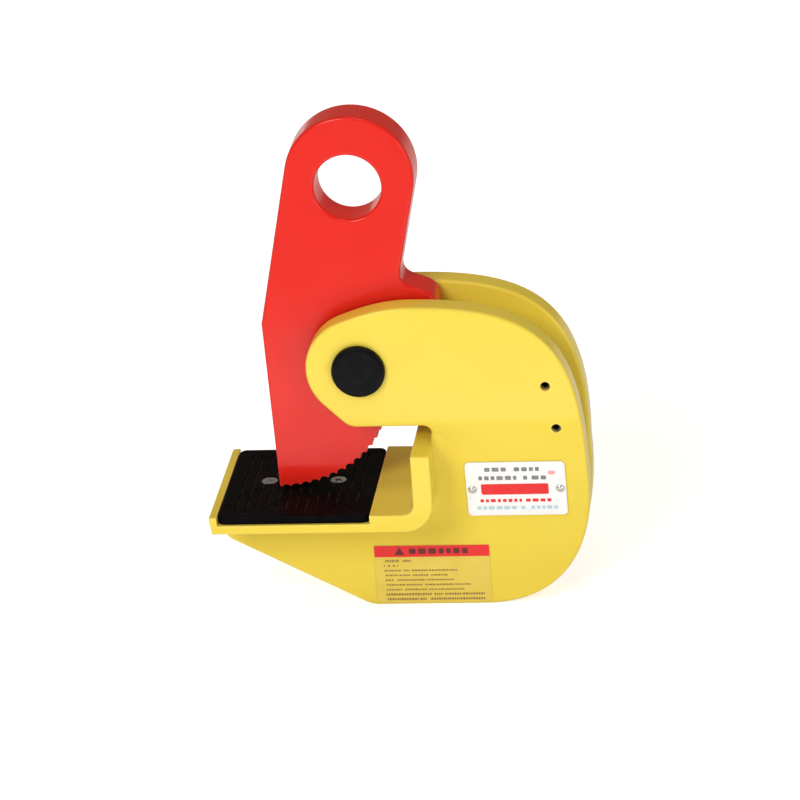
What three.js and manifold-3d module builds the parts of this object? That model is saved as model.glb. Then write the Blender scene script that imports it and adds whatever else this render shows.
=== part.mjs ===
// Horizontal plate lifting clamp: a C-shaped body of two bent cheeks on an L-shaped base plate,
// with a toothed cam lever that swings on a headed pin between the cheeks.
// Millimetres. +X runs into the jaw's throat, +Y to the rear cheek, +Z up to the lifting eye.
// The pieces are drawn about the centre of the jaw pad's gripping face. The finished clamp is then
// set down so that its bottom edge lies on Z = 0, with the middle of its length and width at the origin.
import * as THREE from "three";
import { mergeVertices } from "three/addons/utils/BufferGeometryUtils.js";
import Module from "manifold-3d";

const wasm = await Module();
wasm.setup();

// ---- driving dimensions ----
const FIT_GAP = 0.2; // clearance left between neighbouring pieces
const ROUND = 40; // segments of a bore or shaft

const PIVOT = { x: 39, z: 76.7 };
const EYE = { x: 38, z: 174.1, radius: 17.9 };

const LEVER_THICKNESS = 22;
const LEVER_HEAD = { x: 39.1, z: 179.1, radius: 34.4 };
const LEVER_HUB_RADIUS = 29;
const LEVER_KNEE = { x: -14, z: 97.5 };
const LEVER_NECK = { x: 62.8, z: 127 };
const SHOULDER = { x: 82, bottom: 96, side: 103, crown: 112.6, top: { x: 73.6, z: 115.6 } };
const NECK_HOLLOW = { start: { x: 69.4, z: 117.1 }, pull: { x: 61.2, z: 119.6 } };

const CAM_TIP_ANGLE = -34; // degrees from straight down, seen from the pivot
const CAM_END_ANGLE = 22.6;
const CAM_RADIUS_BELOW_PIVOT = 53.3;
const CAM_RISE_PER_DEGREE = 1.07;
const TOOTH_COUNT = 14;
const TOOTH_LAST_ANGLE = 14;
const GULLET_RADIUS = 2.5;
const GULLET_LIFT = { tip: 1.5, end: 0.9 }; // how far a gullet's centre stands outside the cam curve

const CHEEK_THICKNESS = 14;
const CHEEK_OUTER_Y = 27;
const SEAM_Y = 0.15; // half the gap between the cheeks where they lie together
const BEND_TOP_Z = 46;
const BEND_BOTTOM_Z = -20;
const BEND_BLEND = 5;
const ARM_NOSE_RADIUS = 28.6;
const ARM_UNDERSIDE_Z = 43.2;
const THROAT = { wallX: 75.4, roundEnd: -0.5 };
const BACK = { x: 157.8, z: 18, lowPull: { x: 162.6, z: -44 }, highPull: { x: 134.2, z: 90 } };
const CREST = { x: 67, z: 111.7 };
const BOTTOM_Z = -68.8;
const BOTTOM_RUN = { start: 39, end: 98, pull: 135 };
const TOE = { x: -43, z: -23.4 };
const CHIN = { x: 31.5, z: -66.9 }; // where the slope from the toe starts to turn level

const BASE = { left: -46, right: 76, halfWidth: 46, thickness: 10, top: 34, upright: 10.5 };
const BASE_OUTER_BEND = 16;
const BASE_INNER_BEND = 6;
const PAD = { halfLength: 41.2, halfWidth: 44.3, thickness: 4.8, corner: 4 };
const PAD_GROOVE = { count: 13, pitch: 5.4, width: 1.1, depth: 0.7, halfLength: 37 };
const PAD_SCREW = { x: 19, y: 2.75 };
const SCREW = { headRadius: 4.6, shankRadius: 2.6, headDepth: 2.6 };
const CROSS_RECESS = { length: 5.4, width: 1.3, depth: 1.7 };

const PIN_RADIUS = 11;
const PIN_HEAD = { radius: 14.4, height: 4, rim: 1.2 };
const BUSH_RADIUS = 14;
const THRUST_WASHER = { radius: 17.5, thickness: 1.5 };
const END_WASHER = { radius: 17, thickness: 2.5 };
const RING_GROOVE = { radius: 9.8, width: 1.8 };
const RING = { outer: 13.6, thickness: 1.5, gapAngle: 0.5, lug: 2.4, lugHole: 0.9 };

const SPRING_PINS = { upper: { x: 138, z: 65.3 }, lower: { x: 142.6, z: 40.5 } };
const SPRING_PIN = { radius: 2.4, wall: 0.7, halfLength: 24, slot: 0.35 };

const NAMEPLATE = { x: 118.7, width: 54, height: 35, thickness: 0.8, corner: 2.4, centreZ: 2.8 };
const RIVET = { spacing: 47.6, headRadius: 2.4, headHeight: 1.1, shankRadius: 1.4, length: 5 };
const DECAL = { x: 69.8, z: -49.9, width: 63.6, height: 34.6, thickness: 0.25 };
const WELD_LEG = 5;

// ---- colours ----
const YELLOW = { color: 0xf0cd2c, roughness: 0.32, metalness: 0 };
const RED = { color: 0xe0272a, roughness: 0.3, metalness: 0 };
const BLACK = { color: 0x17171a, roughness: 0.45, metalness: 0.3 };
const ZINC = { color: 0xb9bcc0, roughness: 0.35, metalness: 1 };
const STEEL = { color: 0x8b8d90, roughness: 0.4, metalness: 1 };
const BRONZE = { color: 0xb0793a, roughness: 0.4, metalness: 1 };
const WHITE = { color: 0xf4f5f6, roughness: 0.35, metalness: 0 };

const clamp = new THREE.Group();

// ---- small tools ----
function named(name, geometry, look) {
  const mesh = new THREE.Mesh(geometry, new THREE.MeshStandardMaterial(look));
  mesh.name = name;
  clamp.add(mesh);
  return mesh;
}

function solid(geometry) {
  const bare = geometry.clone();
  bare.deleteAttribute("normal");
  bare.deleteAttribute("uv");
  const merged = mergeVertices(bare, 1e-4);
  const triVerts = Uint32Array.from(merged.index.array);
  const vertProperties = Float32Array.from(merged.attributes.position.array);
  return new wasm.Manifold(new wasm.Mesh({ numProp: 3, vertProperties, triVerts }));
}

function geometryOf(manifold) {
  const mesh = manifold.getMesh();
  const geometry = new THREE.BufferGeometry();
  geometry.setAttribute("position", new THREE.BufferAttribute(mesh.vertProperties, 3));
  geometry.setIndex(new THREE.BufferAttribute(mesh.triVerts, 1));
  geometry.computeVertexNormals();
  return geometry;
}

function cut(geometry, ...tools) {
  return geometryOf(tools.reduce((rest, tool) => rest.subtract(solid(tool)), solid(geometry)));
}

// An outline drawn in X and Z, given thickness along Y between two values.
function plateAlongY(shape, yFrom, yTo, curveSegments = 24) {
  const depth = yTo - yFrom;
  const geometry = new THREE.ExtrudeGeometry(shape, { depth, bevelEnabled: false, curveSegments });
  geometry.rotateX(Math.PI / 2);
  return geometry.translate(0, yTo, 0);
}

// An outline drawn in Y and Z, given length along X between two values.
function barAlongX(shape, xFrom, xTo, curveSegments = 6) {
  const depth = xTo - xFrom;
  const geometry = new THREE.ExtrudeGeometry(shape, { depth, bevelEnabled: false, curveSegments });
  const turn = new THREE.Matrix4().makeBasis(
    new THREE.Vector3(0, 1, 0),
    new THREE.Vector3(0, 0, 1),
    new THREE.Vector3(1, 0, 0),
  );
  return geometry.applyMatrix4(turn).translate(xFrom, 0, 0);
}

function rodAlongY(radius, yFrom, yTo, at, segments = ROUND) {
  const rod = new THREE.CylinderGeometry(radius, radius, yTo - yFrom, segments);
  return rod.translate(at.x, (yFrom + yTo) / 2, at.z);
}

// A profile of [radius, distance] pairs turned about an axis, then laid along +Y.
function turnedAlongY(profile, at, segments = ROUND) {
  const points = profile.map(([radius, along]) => new THREE.Vector2(radius, along));
  return new THREE.LatheGeometry(points, segments).translate(at.x, 0, at.z);
}

function ringAlongY(inner, outer, yFrom, yTo, at) {
  const section = [[inner, yFrom], [outer, yFrom], [outer, yTo], [inner, yTo], [inner, yFrom]];
  return turnedAlongY(section, at);
}

function roundedRectangle(width, height, corner) {
  const [w, h] = [width / 2, height / 2];
  const shape = new THREE.Shape();
  shape.absarc(w - corner, h - corner, corner, 0, Math.PI / 2);
  shape.absarc(-w + corner, h - corner, corner, Math.PI / 2, Math.PI);
  shape.absarc(-w + corner, -h + corner, corner, Math.PI, 1.5 * Math.PI);
  shape.absarc(w - corner, -h + corner, corner, 1.5 * Math.PI, 2 * Math.PI);
  return shape;
}

// Where the straight line from a point touches a circle; side is +1 or -1.
function tangentPoint(from, circle, side) {
  const dx = from.x - circle.x;
  const dz = from.z - circle.z;
  const angle = Math.atan2(dz, dx) + side * Math.acos(circle.radius / Math.hypot(dx, dz));
  const x = circle.x + circle.radius * Math.cos(angle);
  const z = circle.z + circle.radius * Math.sin(angle);
  return { angle, x, z };
}

// ---- base plate: an L with a full-width pocket for the jaw pad ----
function basePlate() {
  const { left, right, thickness, top, upright } = BASE;
  const pocket = PAD.halfLength + 0.3;
  const innerX = right - upright;
  const shape = new THREE.Shape();
  shape.moveTo(left, 0);
  shape.lineTo(left + 1.4, -thickness);
  shape.lineTo(right - BASE_OUTER_BEND, -thickness);
  shape.absarc(right - BASE_OUTER_BEND, BASE_OUTER_BEND - thickness, BASE_OUTER_BEND, -Math.PI / 2, 0);
  shape.lineTo(right, top);
  shape.lineTo(innerX, top);
  shape.lineTo(innerX, BASE_INNER_BEND);
  shape.absarc(innerX - BASE_INNER_BEND, BASE_INNER_BEND, BASE_INNER_BEND, 0, -Math.PI / 2, true);
  shape.lineTo(pocket, 0);
  shape.lineTo(pocket, -PAD.thickness);
  shape.lineTo(-pocket, -PAD.thickness);
  shape.lineTo(-pocket, 0);
  const blank = plateAlongY(shape, -BASE.halfWidth, BASE.halfWidth, 10);
  const holeRadius = SCREW.shankRadius + FIT_GAP;
  const holes = [-PAD_SCREW.x, PAD_SCREW.x].map((x) => {
    const hole = new THREE.CylinderGeometry(holeRadius, holeRadius, 30, 20);
    return hole.rotateX(Math.PI / 2).translate(x, PAD_SCREW.y, 0);
  });
  return cut(blank, ...holes);
}

// ---- jaw pad: hard insert with gripping grooves and two countersunk screw holes ----
function jawPad() {
  const outline = roundedRectangle(2 * PAD.halfLength, 2 * PAD.halfWidth, PAD.corner);
  const depth = PAD.thickness - FIT_GAP;
  const blank = new THREE.ExtrudeGeometry(outline, { depth, bevelEnabled: false, curveSegments: 6 });
  blank.translate(0, 0, -depth);
  const grooves = [];
  for (let i = 0; i < PAD_GROOVE.count; i += 1) {
    const x = (i - (PAD_GROOVE.count - 1) / 2) * PAD_GROOVE.pitch;
    const groove = new THREE.BoxGeometry(PAD_GROOVE.width, 2 * PAD_GROOVE.halfLength, 2 * PAD_GROOVE.depth);
    grooves.push(groove.translate(x, 0, 0));
  }
  const holes = [-PAD_SCREW.x, PAD_SCREW.x].map((x) => screwSpace().translate(x, PAD_SCREW.y, 0));
  return cut(blank, ...grooves, ...holes);
}

// The space a countersunk screw takes, a little larger than the screw.
function screwSpace() {
  const head = SCREW.headRadius + FIT_GAP;
  const shank = SCREW.shankRadius + FIT_GAP;
  const profile = [[0, -12], [shank, -12], [shank, -SCREW.headDepth - 0.6]];
  profile.push([head, -0.6], [head, 1], [0, 1]);
  const points = profile.map(([radius, along]) => new THREE.Vector2(radius, along));
  return new THREE.LatheGeometry(points, 24).rotateX(Math.PI / 2);
}

// A countersunk screw with a cross recess, turned about Z.
function padScrew(turn) {
  const { headRadius, shankRadius, headDepth } = SCREW;
  const { length, width, depth } = CROSS_RECESS;
  const tip = -BASE.thickness + 0.4;
  const profile = [[0, tip], [shankRadius - 0.6, tip], [shankRadius, tip + 0.8]];
  profile.push([shankRadius, -headDepth - 0.3], [headRadius, -0.6], [headRadius - 0.2, -0.35]);
  profile.push([0, -0.2]);
  const points = profile.map(([radius, along]) => new THREE.Vector2(radius, along));
  const body = new THREE.LatheGeometry(points, 24).rotateX(Math.PI / 2);
  const slots = [0, Math.PI / 2].map((quarter) => {
    return new THREE.BoxGeometry(length, width, 2 * depth).rotateZ(turn + quarter);
  });
  return cut(body, ...slots);
}

// ---- cheeks: one outline, bent so that the two plates spread above and lie together below ----
function cheekOutline() {
  const clear = FIT_GAP;
  const top = 108 * (Math.PI / 180);
  const underside = 226 * (Math.PI / 180);
  const noseAt = (angle) => [
    PIVOT.x + ARM_NOSE_RADIUS * Math.cos(angle),
    PIVOT.z + ARM_NOSE_RADIUS * Math.sin(angle),
  ];
  const noseLow = noseAt(underside);
  const throatTop = ARM_UNDERSIDE_Z;
  const throatBottom = BASE.top + clear + 0.3;
  const throatRadius = (throatTop - throatBottom) / 2;
  const throatX = THROAT.wallX - throatRadius;
  const baseZ = -BASE.thickness - clear;
  const baseX = BASE.right + clear;
  const bend = BASE_OUTER_BEND + clear;
  const bendX = BASE.right - BASE_OUTER_BEND;
  const bendZ = BASE_OUTER_BEND - BASE.thickness;

  const shape = new THREE.Shape();
  shape.moveTo(TOE.x, baseZ);
  shape.lineTo(TOE.x, TOE.z);
  shape.quadraticCurveTo(TOE.x, TOE.z - 2.8, TOE.x + 4, TOE.z - 5.1);
  shape.lineTo(CHIN.x, CHIN.z);
  shape.quadraticCurveTo(CHIN.x + 3.5, BOTTOM_Z, BOTTOM_RUN.start, BOTTOM_Z);
  shape.lineTo(BOTTOM_RUN.end, BOTTOM_Z);
  shape.bezierCurveTo(BOTTOM_RUN.pull, BOTTOM_Z, BACK.lowPull.x, BACK.lowPull.z, BACK.x, BACK.z);
  shape.bezierCurveTo(BACK.x, BACK.highPull.z, BACK.highPull.x, CREST.z, CREST.x, CREST.z);
  shape.bezierCurveTo(53, CREST.z, 41.6, 108.3, ...noseAt(top));
  shape.absarc(PIVOT.x, PIVOT.z, ARM_NOSE_RADIUS, top, underside, false);
  shape.lineTo(noseLow[0] + 10, noseLow[1] - 10.2);
  shape.quadraticCurveTo(32, ARM_UNDERSIDE_Z, 36, ARM_UNDERSIDE_Z);
  shape.lineTo(throatX, throatTop);
  const throatZ = throatTop - throatRadius;
  shape.absarc(throatX, throatZ, throatRadius, Math.PI / 2, THROAT.roundEnd, true);
  shape.lineTo(baseX, throatBottom);
  shape.lineTo(baseX, bendZ);
  shape.absarc(bendX, bendZ, bend, 0, -Math.PI / 2, true);
  shape.lineTo(TOE.x, baseZ);
  return shape;
}

// The bent plate seen from the front of the jaw, for the cheek on side -1 or +1.
// Its outer face is moved out by grow.
function bentSection(side, grow = 0) {
  const upper = CHEEK_OUTER_Y + grow;
  const lower = SEAM_Y + CHEEK_THICKNESS + grow;
  const slope = (upper - lower) / (BEND_TOP_Z - BEND_BOTTOM_Z);
  const rise = slope * BEND_BLEND;
  const shape = new THREE.Shape();
  shape.moveTo(side * upper, 130);
  shape.lineTo(side * upper, BEND_TOP_Z + BEND_BLEND);
  shape.quadraticCurveTo(side * upper, BEND_TOP_Z, side * (upper - rise), BEND_TOP_Z - BEND_BLEND);
  shape.lineTo(side * (lower + rise), BEND_BOTTOM_Z + BEND_BLEND);
  shape.quadraticCurveTo(side * lower, BEND_BOTTOM_Z, side * lower, BEND_BOTTOM_Z - BEND_BLEND);
  shape.lineTo(side * lower, -80);
  const [innerUpper, innerLower] = [CHEEK_OUTER_Y - CHEEK_THICKNESS, SEAM_Y];
  shape.lineTo(side * innerLower, -80);
  shape.lineTo(side * innerLower, BEND_BOTTOM_Z - BEND_BLEND);
  const innerRamp = side * (innerLower + rise);
  shape.quadraticCurveTo(side * innerLower, BEND_BOTTOM_Z, innerRamp, BEND_BOTTOM_Z + BEND_BLEND);
  shape.lineTo(side * (innerUpper - rise), BEND_TOP_Z - BEND_BLEND);
  shape.quadraticCurveTo(side * innerUpper, BEND_TOP_Z, side * innerUpper, BEND_TOP_Z + BEND_BLEND);
  shape.lineTo(side * innerUpper, 130);
  return shape;
}

function cheek(side) {
  const outline = solid(plateAlongY(cheekOutline(), -60, 60));
  const blank = outline.intersect(solid(barAlongX(bentSection(side), -60, 170)));
  const tools = [rodAlongY(PIN_RADIUS + 0.25, -60, 60, PIVOT)];
  for (const at of Object.values(SPRING_PINS)) {
    tools.push(rodAlongY(SPRING_PIN.radius + FIT_GAP, -60, 60, at, 24));
  }
  if (side < 0) {
    const holeRadius = RIVET.shankRadius + 0.3;
    for (const shift of [-0.5, 0.5]) {
      const hole = new THREE.CylinderGeometry(holeRadius, holeRadius, 2 * RIVET.length, 16);
      tools.push(onRamp(hole.translate(shift * RIVET.spacing, 0, 0)));
    }
  }
  return geometryOf(tools.reduce((rest, tool) => rest.subtract(solid(tool)), blank));
}

// ---- the sloping front face of the front cheek, which carries the nameplate ----
const RAMP_SLOPE = (CHEEK_OUTER_Y - SEAM_Y - CHEEK_THICKNESS) / (BEND_TOP_Z - BEND_BOTTOM_Z);
const RAMP_ANGLE = Math.atan(RAMP_SLOPE);
const RAMP_CENTRE_Y = -(SEAM_Y + CHEEK_THICKNESS + RAMP_SLOPE * (NAMEPLATE.centreZ - BEND_BOTTOM_Z));

// Moves geometry from a frame on the ramp (x along, -y outward, z up the slope) to its place.
function onRamp(geometry) {
  return geometry.rotateX(RAMP_ANGLE).translate(NAMEPLATE.x, RAMP_CENTRE_Y, NAMEPLATE.centreZ);
}

function nameplate() {
  const shape = roundedRectangle(NAMEPLATE.width, NAMEPLATE.height, NAMEPLATE.corner);
  const plate = plateAlongY(shape, -NAMEPLATE.thickness - FIT_GAP, -FIT_GAP, 5);
  const holes = [-0.5, 0.5].map((shift) => {
    const at = { x: shift * RIVET.spacing, z: 0 };
    return rodAlongY(RIVET.shankRadius + FIT_GAP, -3, 3, at, 16);
  });
  return onRamp(cut(plate, ...holes));
}

function rivet(shift) {
  const face = -NAMEPLATE.thickness - 2 * FIT_GAP;
  const { headRadius, headHeight, shankRadius, length } = RIVET;
  const profile = [[0, face - headHeight], [0.45 * headRadius, face - 0.92 * headHeight]];
  profile.push([0.8 * headRadius, face - 0.6 * headHeight], [headRadius, face], [shankRadius, face]);
  profile.push([shankRadius, length - 1], [0, length - 0.5]);
  return onRamp(turnedAlongY(profile, { x: shift * RIVET.spacing, z: 0 }, 16));
}

function decal() {
  const shape = roundedRectangle(DECAL.width, DECAL.height, 1);
  const face = -(SEAM_Y + CHEEK_THICKNESS) - 0.05;
  return plateAlongY(shape, face - DECAL.thickness, face, 3).translate(DECAL.x, 0, DECAL.z);
}

// ---- cam lever: lifting eye above, spiral toothed cam below ----
function camPoint(degrees) {
  const radius = CAM_RADIUS_BELOW_PIVOT - CAM_RISE_PER_DEGREE * degrees;
  const angle = degrees * (Math.PI / 180);
  return { x: PIVOT.x + radius * Math.sin(angle), z: PIVOT.z - radius * Math.cos(angle) };
}

function leverOutline() {
  const head = tangentPoint(LEVER_KNEE, LEVER_HEAD, -1);
  const neck = tangentPoint(LEVER_NECK, LEVER_HEAD, 1);
  const elbow = { x: SHOULDER.x, z: SHOULDER.bottom };
  const hub = { x: PIVOT.x, z: PIVOT.z, radius: LEVER_HUB_RADIUS };
  const hubTop = tangentPoint(elbow, hub, -1);
  const hubEnd = CAM_END_ANGLE * (Math.PI / 180) - Math.PI / 2;

  const shape = new THREE.Shape();
  shape.moveTo(LEVER_KNEE.x, LEVER_KNEE.z);
  const steps = 40;
  for (let i = 0; i <= steps; i += 1) {
    const p = camPoint(THREE.MathUtils.lerp(CAM_TIP_ANGLE, CAM_END_ANGLE, i / steps));
    shape.lineTo(p.x, p.z);
  }
  shape.absarc(PIVOT.x, PIVOT.z, LEVER_HUB_RADIUS, hubEnd, hubTop.angle, false);
  shape.lineTo(elbow.x, elbow.z);
  shape.lineTo(SHOULDER.x, SHOULDER.side);
  shape.quadraticCurveTo(SHOULDER.x, SHOULDER.crown, SHOULDER.top.x, SHOULDER.top.z);
  shape.lineTo(NECK_HOLLOW.start.x, NECK_HOLLOW.start.z);
  shape.quadraticCurveTo(NECK_HOLLOW.pull.x, NECK_HOLLOW.pull.z, LEVER_NECK.x, LEVER_NECK.z);
  shape.lineTo(neck.x, neck.z);
  shape.absarc(LEVER_HEAD.x, LEVER_HEAD.z, LEVER_HEAD.radius, neck.angle, head.angle, false);
  shape.lineTo(LEVER_KNEE.x, LEVER_KNEE.z);
  return shape;
}

// Places on the cam curve that lie at equal distances along it.
function toothPlaces() {
  const fine = 400;
  const places = [];
  let walked = 0;
  const trail = [{ angle: CAM_TIP_ANGLE, walked: 0 }];
  let last = camPoint(CAM_TIP_ANGLE);
  for (let i = 1; i <= fine; i += 1) {
    const angle = THREE.MathUtils.lerp(CAM_TIP_ANGLE, TOOTH_LAST_ANGLE, i / fine);
    const next = camPoint(angle);
    walked += Math.hypot(next.x - last.x, next.z - last.z);
    trail.push({ angle, walked });
    last = next;
  }
  for (let i = 0; i < TOOTH_COUNT; i += 1) {
    const goal = ((i + 0.62) / TOOTH_COUNT) * walked;
    places.push(trail.find((step) => step.walked >= goal).angle);
  }
  return places;
}

function camLever() {
  const half = LEVER_THICKNESS / 2;
  const blank = plateAlongY(leverOutline(), -half, half, 32);
  const tools = [rodAlongY(EYE.radius, -30, 30, EYE, 56)];
  tools.push(rodAlongY(BUSH_RADIUS + 0.1, -30, 30, PIVOT));
  toothPlaces().forEach((angle, i) => {
    const on = camPoint(angle);
    const ahead = camPoint(angle + 0.5);
    const along = Math.atan2(ahead.z - on.z, ahead.x - on.x);
    const lift = THREE.MathUtils.lerp(GULLET_LIFT.tip, GULLET_LIFT.end, Math.min(1, i / 5));
    const centre = { x: on.x + lift * Math.sin(along), z: on.z - lift * Math.cos(along) };
    tools.push(rodAlongY(GULLET_RADIUS, -30, 30, centre, 18));
  });
  return cut(blank, ...tools);
}

// ---- pivot: headed pin, bush, thrust washers, end washer and retaining ring ----
const PIN_RING_Y = CHEEK_OUTER_Y + 2 * FIT_GAP + END_WASHER.thickness;

function pivotPin() {
  const headBack = -CHEEK_OUTER_Y - FIT_GAP;
  const headFront = headBack - PIN_HEAD.height;
  const end = PIN_RING_Y + RING_GROOVE.width + 4;
  const { radius, rim } = PIN_HEAD;
  const grooveEnd = PIN_RING_Y + RING_GROOVE.width;
  const profile = [[0, headFront], [radius - rim - 1.2, headFront]];
  profile.push([radius - rim * 0.5, headFront + rim * 0.45], [radius, headFront + rim * 1.4]);
  profile.push([radius, headBack], [PIN_RADIUS, headBack], [PIN_RADIUS, PIN_RING_Y]);
  profile.push([RING_GROOVE.radius, PIN_RING_Y], [RING_GROOVE.radius, grooveEnd]);
  profile.push([PIN_RADIUS, grooveEnd]);
  profile.push([PIN_RADIUS, end - 1.2], [PIN_RADIUS - 1.2, end], [0, end]);
  return turnedAlongY(profile, PIVOT, 48);
}

function retainingRing() {
  const inner = RING_GROOVE.radius + FIT_GAP;
  const { outer, gapAngle, lug, lugHole, thickness } = RING;
  const yFrom = PIN_RING_Y + (RING_GROOVE.width - thickness) / 2;
  const down = -Math.PI / 2;
  const shape = new THREE.Shape();
  shape.absarc(0, 0, outer, down + gapAngle, down - gapAngle + 2 * Math.PI, false);
  shape.absarc(0, 0, inner, down - gapAngle + 2 * Math.PI, down + gapAngle, true);
  let ring = solid(plateAlongY(shape, yFrom, yFrom + thickness, 48).translate(PIVOT.x, 0, PIVOT.z));
  for (const side of [-1, 1]) {
    const angle = down + side * (gapAngle + 0.05);
    const reach = (inner + outer) / 2 + 0.6;
    const at = { x: PIVOT.x + reach * Math.cos(angle), z: PIVOT.z + reach * Math.sin(angle) };
    ring = ring.add(solid(rodAlongY(lug, yFrom, yFrom + thickness, at, 20)));
    ring = ring.subtract(solid(rodAlongY(lugHole, -60, 60, at, 10)));
  }
  return geometryOf(ring.subtract(solid(rodAlongY(inner, -60, 60, PIVOT, 48))));
}

// ---- slotted spring pins across the cheeks ----
function springPin(at) {
  const { radius, wall, halfLength, slot } = SPRING_PIN;
  const shape = new THREE.Shape();
  const [from, to] = [Math.PI + slot, 3 * Math.PI - slot];
  shape.absarc(at.x, at.z, radius, from, to, false);
  shape.absarc(at.x, at.z, radius - wall, to, from, true);
  return plateAlongY(shape, -halfLength, halfLength, 20);
}

// ---- weld fillets between the base plate and the two cheeks ----
function plateWeld(side) {
  const inside = side * CHEEK_THICKNESS / 2;
  const face = side * (SEAM_Y + CHEEK_THICKNESS + 1);
  const z = -BASE.thickness - FIT_GAP;
  const shape = new THREE.Shape();
  shape.moveTo(inside, z);
  shape.lineTo(face + side * WELD_LEG, z);
  shape.quadraticCurveTo(face + side * 0.3 * WELD_LEG, z - 0.3 * WELD_LEG, face, z - WELD_LEG);
  shape.lineTo(inside, z - WELD_LEG);
  const bead = solid(barAlongX(shape, TOE.x + 2, BASE.right - BASE_OUTER_BEND - 2));
  return geometryOf(bead.subtract(solid(barAlongX(bentSection(side, FIT_GAP), -60, 170))));
}

// ---- assembly ----
named("base_plate", basePlate(), YELLOW);
named("front_cheek", cheek(-1), YELLOW);
named("rear_cheek", cheek(1), YELLOW);
named("base_plate_weld_front", plateWeld(-1), YELLOW);
named("base_plate_weld_rear", plateWeld(1), YELLOW);
named("jaw_pad", jawPad(), BLACK);
named("pad_screw_left", padScrew(0.5), ZINC).position.set(-PAD_SCREW.x, PAD_SCREW.y, 0);
named("pad_screw_right", padScrew(1.1), ZINC).position.set(PAD_SCREW.x, PAD_SCREW.y, 0);
named("cam_lever", camLever(), RED);

const leverHalf = LEVER_THICKNESS / 2;
named("lever_bush", ringAlongY(PIN_RADIUS + 0.3, BUSH_RADIUS, -leverHalf, leverHalf, PIVOT), BRONZE);
named("pivot_pin", pivotPin(), BLACK);
for (const [name, side] of [["front_thrust_washer", -1], ["rear_thrust_washer", 1]]) {
  const middle = side * (leverHalf + (CHEEK_OUTER_Y - CHEEK_THICKNESS - leverHalf) / 2);
  const half = THRUST_WASHER.thickness / 2;
  const ring = ringAlongY(PIN_RADIUS + 0.3, THRUST_WASHER.radius, middle - half, middle + half, PIVOT);
  named(name, ring, BRONZE);
}
const washerY = CHEEK_OUTER_Y + FIT_GAP;
const washerEnd = washerY + END_WASHER.thickness;
named("pin_end_washer", ringAlongY(PIN_RADIUS + 0.3, END_WASHER.radius, washerY, washerEnd, PIVOT), ZINC);
named("pin_retaining_ring", retainingRing(), STEEL);
named("spring_pin_upper", springPin(SPRING_PINS.upper), STEEL);
named("spring_pin_lower", springPin(SPRING_PINS.lower), STEEL);
named("nameplate", nameplate(), WHITE);
named("nameplate_rivet_left", rivet(-0.5), ZINC);
named("nameplate_rivet_right", rivet(0.5), ZINC);
named("safety_decal", decal(), WHITE);

const bounds = new THREE.Box3().setFromObject(clamp);
clamp.position.set(-(bounds.min.x + bounds.max.x) / 2, 0, -bounds.min.z);
clamp.updateMatrixWorld(true);

export default clamp;
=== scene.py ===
import math
import random

import bmesh
import bpy
from mathutils import Matrix, Vector
from mathutils.bvhtree import BVHTree

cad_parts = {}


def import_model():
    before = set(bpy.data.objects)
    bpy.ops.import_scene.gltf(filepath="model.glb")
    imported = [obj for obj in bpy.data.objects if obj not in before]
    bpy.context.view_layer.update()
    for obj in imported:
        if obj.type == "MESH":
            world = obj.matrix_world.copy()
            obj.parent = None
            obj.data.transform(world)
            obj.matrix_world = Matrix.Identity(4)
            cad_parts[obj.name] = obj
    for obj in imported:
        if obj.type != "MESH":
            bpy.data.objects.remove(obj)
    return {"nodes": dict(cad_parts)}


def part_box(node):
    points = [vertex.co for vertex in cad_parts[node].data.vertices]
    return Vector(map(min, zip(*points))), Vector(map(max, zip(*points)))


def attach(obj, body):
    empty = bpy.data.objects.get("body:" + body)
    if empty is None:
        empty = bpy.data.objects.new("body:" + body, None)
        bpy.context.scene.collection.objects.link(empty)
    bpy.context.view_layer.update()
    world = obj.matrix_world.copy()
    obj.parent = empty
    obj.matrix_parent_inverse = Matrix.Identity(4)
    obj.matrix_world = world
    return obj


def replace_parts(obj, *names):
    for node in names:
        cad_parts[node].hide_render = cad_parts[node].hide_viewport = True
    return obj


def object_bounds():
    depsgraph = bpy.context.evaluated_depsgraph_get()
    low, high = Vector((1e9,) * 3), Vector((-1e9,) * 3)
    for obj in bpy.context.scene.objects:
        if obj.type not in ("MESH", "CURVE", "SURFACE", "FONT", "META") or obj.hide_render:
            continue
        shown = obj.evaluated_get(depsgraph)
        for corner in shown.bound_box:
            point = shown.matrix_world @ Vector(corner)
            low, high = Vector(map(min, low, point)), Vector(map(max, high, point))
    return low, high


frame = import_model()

MM = 0.001
CAD_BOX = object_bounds()
NODES = frame["nodes"]
BODY = "body"
LEVER = "lever"

SEED = 11
SHARP = math.radians(42)  # an edge that turns more than this is a real edge, not a facet of a curve
FLAT = math.radians(0.25)

# edge rounding of the finished pieces
PLATE_EDGE = 1.7 * MM
LEVER_EDGE = 1.9 * MM
TOOTH_EDGE = 0.35 * MM
BORE_EDGE = 0.35 * MM
BASE_EDGE = 1.1 * MM
POCKET_EDGE = 0.35 * MM
SMALL_EDGE = 0.18 * MM

BOXES = {name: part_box(name) for name in NODES}
MIDDLES = {name: (low + high) / 2 for name, (low, high) in BOXES.items()}
PIVOT = MIDDLES["lever_bush"]
PAD_LOW, PAD_HIGH = BOXES["jaw_pad"]
PAD_TOP = PAD_HIGH.z
BASE_LOW, BASE_HIGH = BOXES["base_plate"]

# shapes of the cheeks' bend and of the base plate
BEND_BELOW_BASE = 14 * MM
BEND_ABOVE_BASE = 20 * MM
BEND_CUTS = 22
BASE_BEND_RADIUS = 16 * MM
SCREW_HOLE_RADIUS = 2.75 * MM

# the seam bead between the cheeks, swept by angle about a spot inside the body
SEAM_CENTRE = Vector((0.03, 0, 0.075))
SEAM_START, SEAM_END = -2.25, 0.05
SEAM_REACH = 45 * MM
SEAM_RADIUS = 2.3 * MM


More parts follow.
